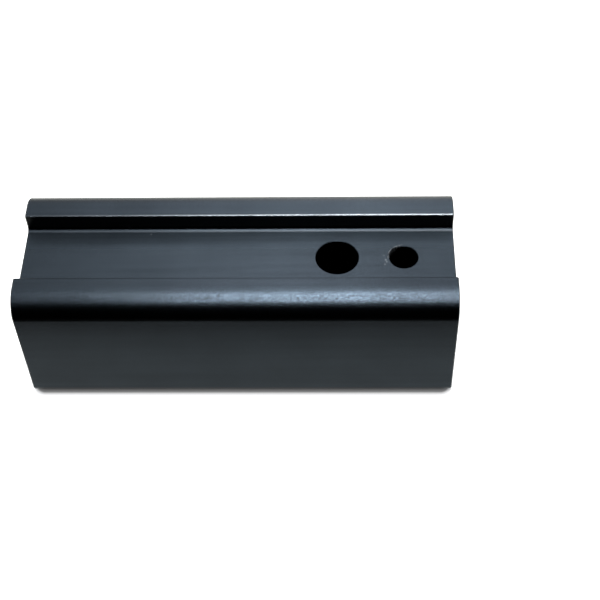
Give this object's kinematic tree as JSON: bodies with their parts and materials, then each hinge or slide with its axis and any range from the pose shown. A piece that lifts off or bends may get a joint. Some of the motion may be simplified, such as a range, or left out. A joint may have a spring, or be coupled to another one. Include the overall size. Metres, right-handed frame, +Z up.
{
  "type": "mounting block",
  "caption": "Solid black anodised aluminium block with a full-length channel along its top and a large and a small bolt hole down through it near one end.",
  "frame": {"origin": "middle of the underside, which the block stands on", "axes": "+X along the bar towards the end with the two holes, +Y across the bar, +Z up out of the channel"},
  "size_m": [0.152, 0.054, 0.051],
  "materials": {
    "black_anodised_aluminium": "black anodised over a fine bead-blasted surface, satin"
  },
  "bodies": {
    "root": {"mounting_block": "black_anodised_aluminium"}
  },
  "joints": []
}
